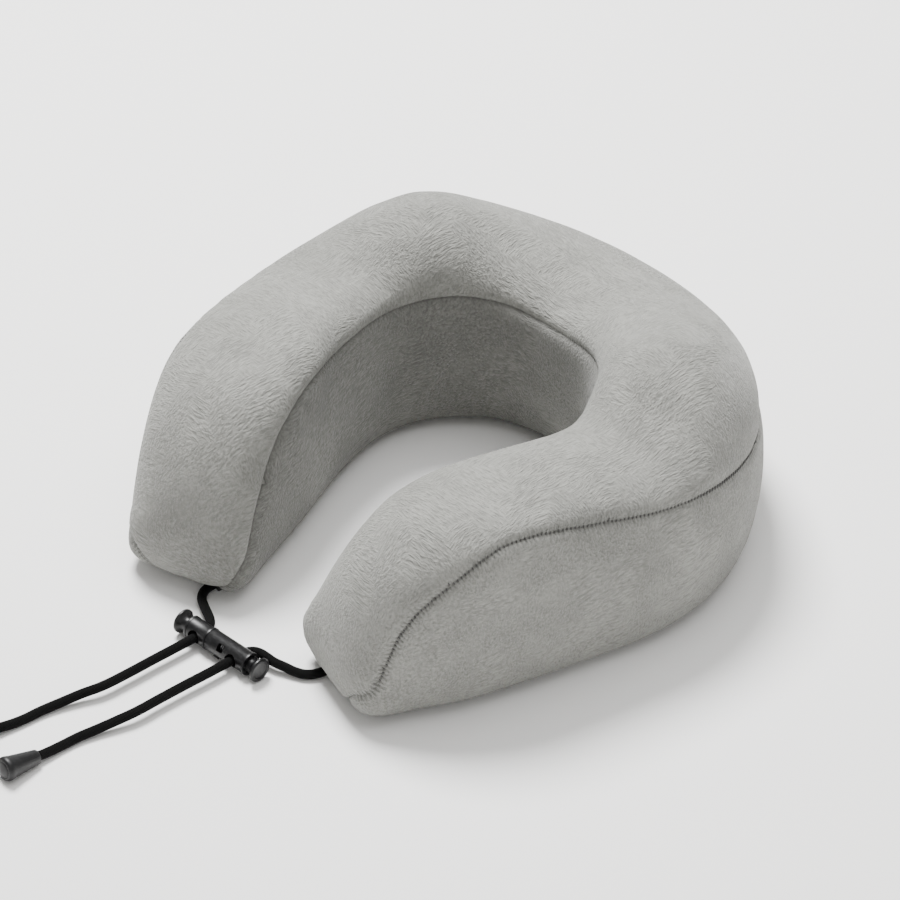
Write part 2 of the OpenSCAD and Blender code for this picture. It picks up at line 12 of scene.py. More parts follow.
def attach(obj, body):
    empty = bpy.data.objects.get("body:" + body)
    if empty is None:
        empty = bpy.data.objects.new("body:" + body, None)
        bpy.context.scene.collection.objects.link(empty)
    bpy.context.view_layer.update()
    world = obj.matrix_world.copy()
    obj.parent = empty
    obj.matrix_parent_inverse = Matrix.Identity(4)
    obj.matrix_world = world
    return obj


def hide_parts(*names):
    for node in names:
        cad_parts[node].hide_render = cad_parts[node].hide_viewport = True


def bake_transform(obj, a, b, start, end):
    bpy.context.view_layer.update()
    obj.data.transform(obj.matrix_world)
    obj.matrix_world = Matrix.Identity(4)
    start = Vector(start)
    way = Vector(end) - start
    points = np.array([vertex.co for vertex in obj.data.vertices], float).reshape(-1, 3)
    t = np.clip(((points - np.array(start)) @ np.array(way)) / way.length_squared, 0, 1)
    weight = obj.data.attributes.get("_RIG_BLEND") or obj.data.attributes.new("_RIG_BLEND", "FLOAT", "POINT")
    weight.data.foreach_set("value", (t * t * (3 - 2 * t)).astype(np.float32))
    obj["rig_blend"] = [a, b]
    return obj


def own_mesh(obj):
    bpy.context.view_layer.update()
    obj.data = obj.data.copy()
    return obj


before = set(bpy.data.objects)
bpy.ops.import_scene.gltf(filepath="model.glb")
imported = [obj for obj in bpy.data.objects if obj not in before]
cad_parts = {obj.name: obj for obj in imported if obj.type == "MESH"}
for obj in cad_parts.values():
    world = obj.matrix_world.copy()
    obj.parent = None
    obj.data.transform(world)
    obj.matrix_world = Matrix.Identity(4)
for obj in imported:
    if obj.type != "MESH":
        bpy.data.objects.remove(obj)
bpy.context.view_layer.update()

MM = 0.001

# Camera: where it looks, from what side and how far away
AIM = (0.0037, -0.0115, 0.0462)
VIEW_SIDE = 45.69
VIEW_HEIGHT = 38.27
VIEW_ROLL = 0.24
VIEW_DISTANCE = 2.372
LENS = 208.75

# Cords: the points that they run through, in millimetres
CORD_RADIUS = 2.2 * MM
LOCK_AXIS = Vector((math.cos(math.radians(2)), math.sin(math.radians(2)), 0))
LEFT_CORD = [
    (-39.5, -118, 2.9), (-39.7, -122, 2.6), (-38.4, -126, 2.6), (-35.7, -129.3, 3),
    (-31.5, -132.1, 3.8), (-27, -134.6, 4.5), (-22.5, -136.9, 5), (-18.6, -139.4, 5.3),
    (-16.1, -142.6, 5.35), (-15.4, -146.5, 5.35), (-15.4, -150.5, 5.35), (-15.9, -160.5, 5.35),
    (-16.9, -175.5, 5.35), (-17.8, -190.5, 5.35), (-19.2, -203.5, 5.3), (-22.4, -212.5, 4.4),
    (-25.4, -221.5, 3.1), (-27.9, -231.5, 2.4), (-29.2, -241.5, 2.3), (-31, -250.5, 2.9),
    (-32.6, -257, 3.8), (-34.1, -263.2, 4.75),
]
RIGHT_LEAD = [
    (39.5, -118, 2.9), (39.2, -122.5, 2.6), (37.9, -127, 2.5), (35.3, -130.6, 2.5),
    (31, -133.2, 2.8), (25.9, -135, 3.6), (20.8, -136.9, 4.5), (16.4, -137.4, 5.1),
    (12.4, -137.9, 5.3), (9.4, -139.6, 5.35), (8, -142.6, 5.35), (7.9, -146.8, 5.35),
]
RIGHT_TAIL = [
    (7.85, -147.3, 5.35), (7.6, -151, 5.35), (7, -161.5, 5.35), (5.8, -176.5, 5.35),
    (4.9, -190.5, 5.35), (4, -204.5, 5.3), (1.7, -213.5, 4.3), (-1, -222.5, 3.1),
    (-3.2, -231, 2.5), (-4.2, -240, 2.4), (-4.7, -247.8, 2.9), (-5.2, -254.9, 3.8),
    (-5.7, -262, 4.8),
]

# Cover
GRID = 4 * MM
ROUNDING_PASSES = 5
PUFF_FRAMES = 20
PUFF_PRESSURE = 30
PUFF_LEAST = 0.85
PUFF_AT_SEAM = 2.6 * MM
PUFF_IN_FIELD = 3.9 * MM
PUFF_REACH = 16 * MM
FABRIC = 1.5 * MM
GROOVE_DEPTH = 1.5 * MM
GROOVE_WIDTH = 1.7 * MM
HEM_HEIGHT = 1.3 * MM
HEM_DEPTH = 0.3 * MM
SEAM_SMOOTHING = 14
FLOOR_LIFT = 0.2 * MM
STITCH_PITCH = 2.1 * MM
STITCH_LENGTH = 2.6 * MM
STITCH_RADIUS = 0.28 * MM
PULL_AT = (0, 0.03, 0.16, 0.24, 0.5, 0.58, 0.7, 0.74)
PULL = (1.0, 1.0, 1.0, 0.35, 0.35, 1.0, 1.0, 1.0)
NECK_PULL = 0.08

# Zip: the circle that it runs on, and its teeth
TRACK_CENTRE = Vector((0, 0.996 * MM, 17 * MM))
TRACK_RADIUS = 136.92 * MM
ZIP_ANGLE = 31
ZIP_LEAN = 8.05
TOOTH_PITCH = 1.5 * MM
TOOTH_RADIUS = 0.75 * MM
TOOTH_WIRE = 0.32 * MM
TOOTH_OFFSET = 1.25 * MM


# Small tools for meshes

def add_piece(name, mesh):
    piece = bpy.data.objects.new(name, mesh)
    bpy.context.scene.collection.objects.link(piece)
    return piece


def mesh_from(bm, name):
    mesh = bpy.data.meshes.new(name)
    bm.to_mesh(mesh)
    bm.free()
    return mesh


def smooth_shaded(mesh, angle=180):
    mesh.shade_smooth()
    if angle < 180:
        mesh.set_sharp_from_angle(angle=math.radians(angle))
    return mesh


def merged_copy(node):
    """A CAD node's mesh as one closed skin, in a bmesh."""
    bm = bmesh.new()
    bm.from_mesh(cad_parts[node].data)
    bmesh.ops.remove_doubles(bm, verts=bm.verts, dist=0.005 * MM)
    return bm


def applied(piece):
    """The mesh that the piece's modifiers make. The piece itself is removed."""
    graph = bpy.context.evaluated_depsgraph_get()
    mesh = bpy.data.meshes.new_from_object(piece.evaluated_get(graph))
    bpy.data.objects.remove(piece)
    return mesh


def vertex_places(mesh):
    places = np.empty(len(mesh.vertices) * 3)
    mesh.vertices.foreach_get("co", places)
    return places.reshape(-1, 3)


def vertex_normals(mesh):
    normals = np.empty(len(mesh.vertices) * 3)
    mesh.vertex_normals.foreach_get("vector", normals)
    return normals.reshape(-1, 3)


def move_vertices(mesh, places):
    mesh.vertices.foreach_set("co", np.asarray(places, float).ravel())
    mesh.update()


# Small tools for materials

def new_material(name):
    material = bpy.data.materials.new(name)
    material.use_nodes = True
    nodes = material.node_tree.nodes
    nodes.clear()
    out = nodes.new("ShaderNodeOutputMaterial")
    shader = nodes.new("ShaderNodeBsdfPrincipled")
    material.node_tree.links.new(shader.outputs["BSDF"], out.inputs["Surface"])
    return material, shader


class Graph:
    """Adds nodes to a material and links them by name."""

    def __init__(self, material):
        self.tree = material.node_tree

    def node(self, kind, settings=None, **inputs):
        made = self.tree.nodes.new("ShaderNode" + kind)
        for key, value in (settings or {}).items():
            setattr(made, key, value)
        for key, value in inputs.items():
            self.set(made, key.replace("_", " "), value)
        return made

    def set(self, made, socket, value):
        target = made.inputs[int(socket)] if socket.isdigit() else made.inputs[socket]
        if isinstance(value, bpy.types.NodeSocket):
            self.tree.links.new(value, target)
        else:
            target.default_value = value

    def maths(self, operation, first, second=0.0, clamp=False):
        made = self.node("Math", {"operation": operation, "use_clamp": clamp})
        self.set(made, "0", first)
        self.set(made, "1", second)
        return made.outputs[0]

    def ramp(self, value, low, high, to_low=0.0, to_high=1.0):
        made = self.node("MapRange", {"interpolation_type": "SMOOTHSTEP"}, Value=value)
        self.set(made, "From Min", low)
        self.set(made, "From Max", high)
        self.set(made, "To Min", to_low)
        self.set(made, "To Max", to_high)
        return made.outputs["Result"]

    def mix(self, share, first, second):
        made = self.node("Mix", {"data_type": "RGBA"})
        self.set(made, "Factor", share)
        self.set(made, "6", first)
        self.set(made, "7", second)
        return made.outputs["Result"]

    def place(self, scale=(1, 1, 1), turn=(0, 0, 0), source=None):
        source = source or self.node("TexCoord").outputs["Object"]
        made = self.node("Mapping", Vector=source)
        made.inputs["Scale"].default_value = scale
        made.inputs["Rotation"].default_value = [math.radians(a) for a in turn]
        return made.outputs["Vector"]

    def noise(self, vector, scale, detail=2.0, roughness=0.5, distortion=0.0):
        return self.node("TexNoise", Vector=vector, Scale=scale, Detail=detail,
                         Roughness=roughness, Distortion=distortion).outputs["Fac"]

    def attribute(self, name):
        return self.node("Attribute", {"attribute_name": name}).outputs["Fac"]

    def bump(self, height, distance, strength=1.0, normal=None):
        made = self.node("Bump", Height=height, Strength=strength, Distance=distance)
        if normal:
            self.set(made, "Normal", normal)
        return made.outputs["Normal"]


def velour(name, colour, shade_depth):
    """Short-pile velour: brushed streaks that change direction, puckers at the seams, and painted shade
    along the seams and in the puckers' hollows.
    """
    material, shader = new_material(name)
    g = Graph(material)
    wander = g.noise(g.place(), 38, detail=1.0)
    warped = g.node("VectorMath", {"operation": "MULTIPLY_ADD"})
    drift = g.node("TexNoise", Vector=g.place(), Scale=38.0, Detail=1.0)
    g.set(warped, "0", drift.outputs["Color"])
    warped.inputs[1].default_value = (0.007, 0.007, 0.007)
    g.set(warped, "2", g.place())
    along = g.noise(g.place((210, 1150, 700), (0, 0, 24), warped.outputs[0]), 1.0,
                    detail=2.0, roughness=0.6)
    across = g.noise(g.place((1150, 220, 720), (0, 25, -32), warped.outputs[0]), 1.0,
                     detail=2.0, roughness=0.6)
    which = g.ramp(wander, 0.44, 0.56)
    streak = g.node("Mix", {"data_type": "FLOAT"}, Factor=which)
    g.set(streak, "2", along)
    g.set(streak, "3", across)
    streak = streak.outputs[0]
    fine = g.noise(g.place(), 1900, detail=2.0, roughness=0.7)
    mottle = g.noise(g.place(), 24, detail=4.0, roughness=0.62, distortion=0.6)
    patches = g.noise(g.place(), 9, detail=2.0)
    tone = g.maths("ADD", g.maths("MULTIPLY", streak, 0.46), g.maths("MULTIPLY", fine, 0.14))
    tone = g.maths("ADD", tone, g.maths("MULTIPLY", mottle, 0.26))
    tone = g.maths("ADD", tone, g.maths("MULTIPLY", patches, 0.14))
    light = g.ramp(tone, 0.36, 0.64)
    dark = [c * shade_depth for c in colour]
    pale = [min(1, c * (2.06 - shade_depth)) for c in colour]
    base = g.mix(light, (*dark, 1), (*pale, 1))
    near = g.attribute("seam_gap")
    run = g.attribute("seam_run")
    jitter = g.maths("MULTIPLY", g.noise(g.place(), 170), 5.0)
    phase = g.maths("MULTIPLY", run, 2 * math.pi / STITCH_PITCH)
    wave = g.maths("SINE", g.maths("ADD", phase, jitter))
    reach = g.maths("ADD", near, g.maths("MULTIPLY", g.noise(g.place(), 330), 4 * MM))
    fade = g.maths("MULTIPLY", g.ramp(reach, 2.2 * MM, 6 * MM, 1.0, 0.0), g.attribute("seam_pull"))
    pucker = g.maths("MULTIPLY", g.maths("MULTIPLY", wave, 0.5), fade)
    # Painted shade: the base colour is darkened along the seam's crease and in the hollows of the puckers.
    seam_painted_shade = g.maths("MULTIPLY", g.ramp(near, 0.2 * MM, 1.2 * MM, 1.0, 0.0), 0.38)
    hollow = g.maths("MAXIMUM", g.maths("MULTIPLY", pucker, -1.0), 0.0)
    pucker_painted_shade = g.maths("MULTIPLY", hollow, 0.8)
    shadow = g.maths("ADD", seam_painted_shade, pucker_painted_shade, clamp=True)
    base = g.mix(shadow, base, (*[c * 0.42 for c in colour], 1))
    g.set(shader, "Base Color", base)
    g.set(shader, "Roughness", g.ramp(streak, 0.3, 0.7, 0.94, 0.8))
    shader.inputs["Specular IOR Level"].default_value = 0.22
    shader.inputs["Sheen Weight"].default_value = 0.25
    shader.inputs["Sheen Roughness"].default_value = 0.45
    shader.inputs["Sheen Tint"].default_value = (0.93, 0.93, 0.92, 1)
    normal = g.bump(pucker, 0.9 * MM, 0.8)
    normal = g.bump(streak, 1.4 * MM, 1.0, normal)
    g.set(shader, "Normal", g.bump(fine, 0.3 * MM, 0.6, normal))
    return material


def knit(name, colour):
    """Fine knitted or woven cloth, seen as rows of small ribs."""
    material, shader = new_material(name)
    g = Graph(material)
    rows = g.node("TexWave", {"bands_direction": "Z"}, Vector=g.place(), Scale=320.0, Distortion=1.2)
    ribs = g.node("TexWave", {"bands_direction": "X"}, Vector=g.place(), Scale=260.0, Distortion=1.0)
    weave = g.maths("MULTIPLY", rows.outputs["Fac"], ribs.outputs["Fac"])
    g.set(shader, "Base Color", g.mix(weave, (*[c * 0.7 for c in colour], 1), (*colour, 1)))
    g.set(shader, "Roughness", g.ramp(weave, 0.0, 1.0, 0.95, 0.75))
    shader.inputs["Sheen Weight"].default_value = 0.2
    g.set(shader, "Normal", g.bump(weave, 0.3 * MM, 0.6))
    return material


def foam(name, colour):
    """Open-cell foam: a skin of small pits, with painted shade darkening each pit."""
    material, shader = new_material(name)
    g = Graph(material)
    cells = g.node("TexVoronoi", Vector=g.place(), Scale=700.0).outputs["Distance"]
    stain = g.noise(g.place(), 14, detail=3.0)
    pits = g.ramp(cells, 0.1, 0.6)
    # Painted shade: the colour is darker in the pits, multiplied with the real stain.
    tone = g.maths("MULTIPLY", pits, g.ramp(stain, 0.2, 0.8, 0.75, 1.0))
    g.set(shader, "Base Color", g.mix(tone, (*[c * 0.72 for c in colour], 1), (*colour, 1)))
    shader.inputs["Roughness"].default_value = 0.9
    g.set(shader, "Normal", g.bump(pits, 0.4 * MM, 0.5))
    return material


def braid(name):
    """Black braided cord: two sets of strands that wind round it and cross."""
    material, shader = new_material(name)
    g = Graph(material)
    uv = g.node("UVMap").outputs["UV"]
    parts = g.node("SeparateXYZ", Vector=uv)
    length, turn = parts.outputs[0], parts.outputs[1]
    one = g.maths("SINE", g.maths("MULTIPLY", g.maths("ADD", length, turn), 2 * math.pi * 8))
    two = g.maths("SINE", g.maths("MULTIPLY", g.maths("SUBTRACT", length, turn), 2 * math.pi * 8))
    strands = g.maths("ABSOLUTE", g.maths("MULTIPLY", one, two))
    fluff = g.noise(g.place(), 2400, detail=3.0)
    tone = g.maths("ADD", g.maths("MULTIPLY", strands, 0.7), g.maths("MULTIPLY", fluff, 0.3))
    g.set(shader, "Base Color", g.mix(tone, (0.001, 0.001, 0.001, 1), (0.006, 0.006, 0.006, 1)))
    g.set(shader, "Roughness", g.ramp(strands, 0.0, 1.0, 0.85, 0.5))
    shader.inputs["Specular IOR Level"].default_value = 0.08
    g.set(shader, "Normal", g.bump(tone, 0.35 * MM, 0.8))
    return material


def moulded_plastic(name, colour, gloss):
    """Moulded black plastic: fine grain, faint flow marks and rubbed high spots."""
    material, shader = new_material(name)
    g = Graph(material)
    grain = g.noise(g.place(), 3600, detail=2.0)
    rubs = g.noise(g.place((1, 2.4, 1)), 420, detail=5.0, roughness=0.65)
    worn = g.ramp(rubs, 0.5, 0.78)
    g.set(shader, "Base Color", g.mix(worn, (*colour, 1), (*[c * 2.4 + 0.006 for c in colour], 1)))
    g.set(shader, "Roughness", g.ramp(rubs, 0.25, 0.75, gloss, gloss + 0.16))
    shader.inputs["Specular IOR Level"].default_value = 0.4
    g.set(shader, "Normal", g.bump(grain, 0.05 * MM, 0.35))
    return material


def worked_metal(name, colour, rough):
    """Plated or drawn metal with fine brushing and small spots."""
    material, shader = new_material(name)
    g = Graph(material)
    brushed = g.noise(g.place((260, 2600, 2600)), 1.0, detail=3.0)
    spots = g.noise(g.place(), 900, detail=4.0)
    g.set(shader, "Base Color", g.mix(spots, (*[c * 0.8 for c in colour], 1), (*colour, 1)))
    shader.inputs["Metallic"].default_value = 1.0
    g.set(shader, "Roughness", g.ramp(brushed, 0.25, 0.75, rough, rough + 0.18))
    g.set(shader, "Normal", g.bump(brushed, 0.04 * MM, 0.4))
    return material


def thread(name, colour):
    """Twisted sewing thread."""
    material, shader = new_material(name)
    g = Graph(material)
    twist = g.node("TexWave", {"bands_direction": "DIAGONAL"}, Vector=g.place(), Scale=900.0).outputs["Fac"]
    g.set(shader, "Base Color", g.mix(twist, (*[c * 0.55 for c in colour], 1), (*colour, 1)))
    g.set(shader, "Roughness", g.ramp(twist, 0.0, 1.0, 0.85, 0.6))
    g.set(shader, "Normal", g.bump(twist, 0.08 * MM, 0.5))
    return material


GREY = (0.24, 0.24, 0.222)
top_velour = velour("velour_top", GREY, 0.78)
wall_velour = velour("velour_outer_wall", [c * 1.02 for c in GREY], 0.74)
# Painted shade: the neck-side wall is the same velour, darkened to 0.68 of the grey.
neck_velour_painted_shade = velour("velour_neck_side_painted_shade", [c * 0.68 for c in GREY], 0.74)
# Painted shade: the underside is the same velour, darkened to 0.8 of the grey.
base_velour_painted_shade = velour("velour_underside_painted_shade", [c * 0.8 for c in GREY], 0.8)
white_foam = foam("memory_foam", (0.82, 0.78, 0.66))
white_knit = knit("liner_knit", (0.75, 0.75, 0.72))
zip_cloth = knit("zip_tape_cloth", (0.2, 0.2, 0.195))
cord_braid = braid("cord_braid")
lock_plastic = moulded_plastic("lock_plastic", (0.003, 0.003, 0.0035), 0.3)
bell_plastic = moulded_plastic("bell_plastic", (0.004, 0.004, 0.0045), 0.38)
coil_plastic = moulded_plastic("zip_coil_plastic", (0.16, 0.16, 0.155), 0.4)
bright_steel = worked_metal("spring_wire", (0.75, 0.76, 0.78), 0.2)
zip_metal = worked_metal("zip_metal", (0.3, 0.3, 0.305), 0.34)
dark_thread = thread("seam_thread", (0.085, 0.083, 0.08))
black_thread = thread("anchor_thread", (0.02, 0.02, 0.02))


# Camera

def make_camera():
    side, height, roll = (math.radians(a) for a in (VIEW_SIDE, VIEW_HEIGHT, VIEW_ROLL))
    back = Vector((math.sin(side) * math.cos(height), -math.cos(side) * math.cos(height),
                   math.sin(height)))
    right = Vector((math.cos(side), math.sin(side), 0))
    up = back.cross(right)
    right, up = right * math.cos(roll) + up * math.sin(roll), up * math.cos(roll) - right * math.sin(roll)
    camera = bpy.data.objects.new("camera", bpy.data.cameras.new("camera"))
    bpy.context.scene.collection.objects.link(camera)
    place = Matrix((right, up, back)).transposed().to_4x4()
    place.translation = Vector(AIM) + back * VIEW_DISTANCE
    camera.matrix_world = place
    camera.data.lens = LENS
    camera.data.sensor_width = 36
    camera.data.clip_end = 20
    bpy.context.scene.camera = camera


make_camera()


# Cords

def route(points):
    return [Vector(p) * MM for p in points]


def tube(name, points):
    """A round cord through the points, as a smooth-shaded mesh."""
    curve = bpy.data.curves.new(name, "CURVE")
    curve.dimensions = "3D"
    curve.bevel_depth = CORD_RADIUS
    curve.bevel_resolution = 6
    curve.resolution_u = 8
    curve.use_fill_caps = True
    spline = curve.splines.new("BEZIER")
    spline.bezier_points.add(len(points) - 1)
    for knot, point in zip(spline.bezier_points, points):
        knot.co = point
        knot.handle_left_type = knot.handle_right_type = "AUTO"
    piece = add_piece(name, curve)
    bpy.context.view_layer.update()
    mesh = applied(piece)
    smooth_shaded(mesh, 60)
    return mesh


def unroll(mesh, points):
    """Sets the UV map: how many girths along the cord, and what share of a turn round it."""
    layer = mesh.uv_layers.get("UVMap") or mesh.uv_layers.new(name="UVMap")
    girth = 2 * math.pi * CORD_RADIUS
    starts = np.array([p[:] for p in points[:-1]])
    steps = np.array([(b - a)[:] for a, b in zip(points, points[1:])])
    lengths = np.linalg.norm(steps, axis=1)
    before = np.concatenate([[0], np.cumsum(lengths)[:-1]])
    places = vertex_places(mesh)
    share = np.clip(((places[:, None] - starts) * steps).sum(2) / lengths ** 2, 0, 1)
    feet = starts + share[..., None] * steps
    nearest = np.linalg.norm(places[:, None] - feet, axis=2).argmin(1)
    rows = np.arange(len(places))
    along = (before[nearest] + share[rows, nearest] * lengths[nearest]) / girth
    side = np.cross(steps[nearest], (0, 0, 1))
    side /= np.linalg.norm(side, axis=1)[:, None]
    out = places - feet[rows, nearest]
    turn = np.arctan2(out[:, 2], (out * side).sum(1)) / (2 * math.pi)
    for face in mesh.polygons:
        turns = turn[list(face.vertices)]
        wraps = turns.max() - turns.min() > 0.5
        for loop, value in zip(face.loop_indices, turns):
            vertex = mesh.loops[loop].vertex_index
            layer.data[loop].uv = (along[vertex], value + 1 if wraps and value < 0 else value)


def make_cord(name, points):
    mesh = tube(name, points)
    unroll(mesh, points)
    mesh.materials.clear()
    mesh.materials.append(cord_braid)
    cord = add_piece(name, mesh)
    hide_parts(name)
    return cord


# Pieces kept in the CAD's shape, with softened edges

def finished(node, material, body, soften=0.12 * MM, smooth_angle=40):
    """A node's shape with small rounded edges and its own finish."""
    bm = merged_copy(node)
    bmesh.ops.dissolve_limit(bm, angle_limit=math.radians(1.5), verts=bm.verts, edges=bm.edges)
    mesh = mesh_from(bm, node)
    mesh.materials.clear()
    mesh.materials.append(material)
    piece = add_piece(node + "_finished", mesh)
    if soften:
        edge = piece.modifiers.new("soft_edges", "BEVEL")
        edge.width = soften
        edge.segments = 2
        edge.limit_method = "ANGLE"
        edge.angle_limit = math.radians(35)
        bpy.context.view_layer.update()
        mesh = applied(piece)
        piece = add_piece(node + "_finished", mesh)
    smooth_shaded(mesh, smooth_angle)
    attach(piece, body)
    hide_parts(node)
    return piece


left_points, lead_points, tail_points = route(LEFT_CORD), route(RIGHT_LEAD), route(RIGHT_TAIL)
cord_left = make_cord("cord_left", left_points)
cord_lead = make_cord("cord_right_lead", lead_points)
cord_tail = make_cord("cord_right_tail", tail_points)
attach(cord_left, "cushion")
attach(cord_tail, "cord_right")

for side, body in (("left", "cushion"), ("right", "cord_right")):
    finished("bell_" + side, bell_plastic, body, 0.15 * MM, 50)
    finished("bell_cap_" + side, bell_plastic, body, 0.1 * MM, 50)
    finished("knot_" + side, cord_braid, body, 0, 60)

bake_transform(cord_lead, "cushion", "cord_right", start=lead_points[0][:], end=lead_points[-1][:])

for side in ("left", "right"):
    finished("barrel_" + side, lock_plastic, "lock_" + side)
    finished("button_" + side, lock_plastic, "push_" + side, 0.15 * MM, 30)
    coil = finished("spring_" + side, bright_steel, "lock_" + side, 0, 80)
    along = [vertex.co.dot(LOCK_AXIS) for vertex in coil.data.vertices]
    seat = max(along) if side == "left" else min(along)
    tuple((LOCK_AXIS * seat)[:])
    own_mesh(coil)
    finished("bartack_" + side, black_thread, "cushion", 0.4 * MM, 60)


# Cushion: the foam's shape is meshed evenly, then blown up against the cover's size

COVER_NODES = {"top": "top_panel", "outer": "outer_wall_panel", "inner": "inner_wall_panel",
               "bottom": "bottom_panel"}


def surface_tree(node):
    bm = merged_copy(node)
    tree = BVHTree.FromBMesh(bm)
    bm.free()
    return tree


panel_trees = {panel: surface_tree(node) for panel, node in COVER_NODES.items()}


def seam_fields(places):
    """For each place, signed distances to the top panel's seams and to the underside's hem."""
    fields = np.empty((len(places), 2))
    for row, place in enumerate(places):
        hits = [tree.find_nearest(place) for tree in panel_trees.values()]
        foot = min(hits, key=lambda h: h[3])[0]
        gap = {panel: tree.find_nearest(foot)[3] for panel, tree in panel_trees.items()}
        fields[row] = (gap["top"] - min(gap["outer"], gap["inner"]), place.z - HEM_HEIGHT)
    return fields


def even_form():
    """The foam core's shape, evenly meshed and rounded."""
    piece = add_piece("even_form", mesh_from(merged_copy("foam_core"), "even_form"))
    grid = piece.modifiers.new("grid", "REMESH")
    grid.mode = "VOXEL"
    grid.voxel_size = GRID
    bpy.context.view_layer.update()
    mesh = applied(piece)
    bm = bmesh.new()
    bm.from_mesh(mesh)
    for _ in range(ROUNDING_PASSES):
        bmesh.ops.smooth_vert(bm, verts=bm.verts, factor=0.5,
                              use_axis_x=True, use_axis_y=True, use_axis_z=True)
    bm.to_mesh(mesh)
    bm.free()
    mesh.update()
    return mesh


def puffed(form):
    """The form swollen by Cloth with pressure inside."""
    piece = add_piece("puffed_form", form.copy())
    cloth = piece.modifiers.new("puff", "CLOTH")
    cloth.settings.use_pressure = True
    cloth.settings.uniform_pressure_force = PUFF_PRESSURE
    cloth.settings.effector_weights.gravity = 0
    cloth.settings.quality = 4
    cloth.point_cache.frame_start = 1
    cloth.point_cache.frame_end = PUFF_FRAMES
    for step in range(1, PUFF_FRAMES + 1):
        bpy.context.scene.frame_set(step)
    mesh = applied(piece)
    bpy.context.scene.frame_set(1)
    return mesh


def swollen(form):
    """The form blown out to the cover's size: less at the seams, more between them."""
    places = vertex_places(form)
    gap = np.abs(seam_fields([Vector(p) for p in places])).min(1)
    cap = PUFF_AT_SEAM + (PUFF_IN_FIELD - PUFF_AT_SEAM) * np.clip(gap / PUFF_REACH, 0, 1) ** 0.7
    outward = vertex_normals(form)
    shift = vertex_places(puffed(form)) - places
    reach = np.linalg.norm(shift, axis=1)
    shift *= (np.minimum(cap, reach) / np.maximum(reach, 1e-9))[:, None]
    short = np.maximum(PUFF_LEAST * cap - (shift * outward).sum(1), 0)
    shift += outward * short[:, None]
    places = places + shift
    places[:, 2] = np.maximum(places[:, 2], FLOOR_LIFT)
    mesh = form.copy()
    move_vertices(mesh, places)
    return mesh


def subdivided(mesh):
    piece = add_piece("finer", mesh)
    finer = piece.modifiers.new("finer", "SUBSURF")
    finer.levels = finer.render_levels = 1
    bpy.context.view_layer.update()
    return applied(piece)


def cut_along(bm, field):
    """Splits faces where the field changes sign, so that a seam runs along edges."""
    for edge in [e for e in bm.edges if e.verts[0][field] * e.verts[1][field] < 0]:
        a, b = edge.verts
        if a[field] * b[field] >= 0:
            continue
        share = a[field] / (a[field] - b[field])
        crossing = a.co.lerp(b.co, share)
        if share < 0.2:
            a.co, a[field] = crossing, 0
        elif share > 0.8:
            b.co, b[field] = crossing, 0
        else:
            made = bmesh.utils.edge_split(edge, a, share)[1]
            made.co, made[field] = crossing, 0
    bmesh.ops.connect_verts(bm, verts=[v for v in bm.verts if v[field] == 0])


def face_side(face, field):
    return sum(v[field] for v in face.verts)


def smoothed(values, mesh, passes):
    """Values averaged with their neighbours' along edges."""
    pairs = np.empty(len(mesh.edges) * 2, int)
    mesh.edges.foreach_get("vertices", pairs)
    a, b = pairs.reshape(-1, 2).T
    count = np.bincount(pairs, minlength=len(values))[:, None]
    for _ in range(passes):
        total = np.zeros_like(values)
        np.add.at(total, a, values[b])
        np.add.at(total, b, values[a])
        values = 0.5 * values + 0.5 * total / count
    return values


def seam_chain(bm, panel_of, first, second):
    """The ordered vertices of the longest seam between two panels."""
    steps = {}
    for edge in bm.edges:
        if {panel_of[f] for f in edge.link_faces} == {first, second}:
            for a, b in (edge.verts, reversed(edge.verts)):
                steps.setdefault(a, []).append(b)
    chains, seen = [], set()
    for start in sorted(steps, key=lambda v: len(steps[v])):
        if start in seen:
            continue
        chain = [start]
        seen.add(start)
        while True:
            ahead = [v for v in steps[chain[-1]] if v not in seen]
            if not ahead:
                break
            chain.append(ahead[0])
            seen.add(ahead[0])
        chains.append(chain)
    return max(chains, key=len)


def resampled(points, normals, pitch):
    """Points, tangents and normals at an even pitch along a chain."""
    places = np.array([p[:] for p in points])
    for _ in range(3):
        places[1:-1] = 0.25 * places[:-2] + 0.5 * places[1:-1] + 0.25 * places[2:]
    along = np.concatenate([[0], np.cumsum(np.linalg.norm(np.diff(places, axis=0), axis=1))])
    at = np.arange(pitch / 2, along[-1], pitch)
    place = np.stack([np.interp(at, along, places[:, k]) for k in range(3)], 1)
    facing = np.array([n[:] for n in normals])
    normal = np.stack([np.interp(at, along, facing[:, k]) for k in range(3)], 1)
    tangent = np.gradient(place, axis=0)
    return place, tangent / np.linalg.norm(tangent, axis=1)[:, None], normal, at


def cover_form():
    """The cover's whole surface, cut along its seams, with the fields that tell its panels apart."""
    form = even_form()
    mesh = subdivided(swollen(form))
    fields = seam_fields([Vector(p) for p in vertex_places(mesh)])
    fields[:, :1] = smoothed(fields[:, :1], mesh, SEAM_SMOOTHING)
    bm = bmesh.new()
    bm.from_mesh(mesh)
    top = bm.verts.layers.float.new("top_field")
    hem = bm.verts.layers.float.new("hem_field")
    for vertex, (to_top, to_hem) in zip(bm.verts, fields):
        vertex[top], vertex[hem] = to_top, to_hem
    cut_along(bm, top)
    cut_along(bm, hem)
    bmesh.ops.triangulate(bm, faces=[f for f in bm.faces if len(f.verts) > 4])
    bm.normal_update()
    return form, bm, top, hem


def name_panels(bm, top, hem):
    panel_of = {}
    for face in bm.faces:
        if face_side(face, top) < 0:
            panel_of[face] = "top"
        elif face_side(face, hem) < 0:
            panel_of[face] = "bottom"
        else:
            middle = face.calc_center_median()
            outer = panel_trees["outer"].find_nearest(middle)[3]
            inner = panel_trees["inner"].find_nearest(middle)[3]
            panel_of[face] = "outer" if outer < inner else "inner"
    return panel_of


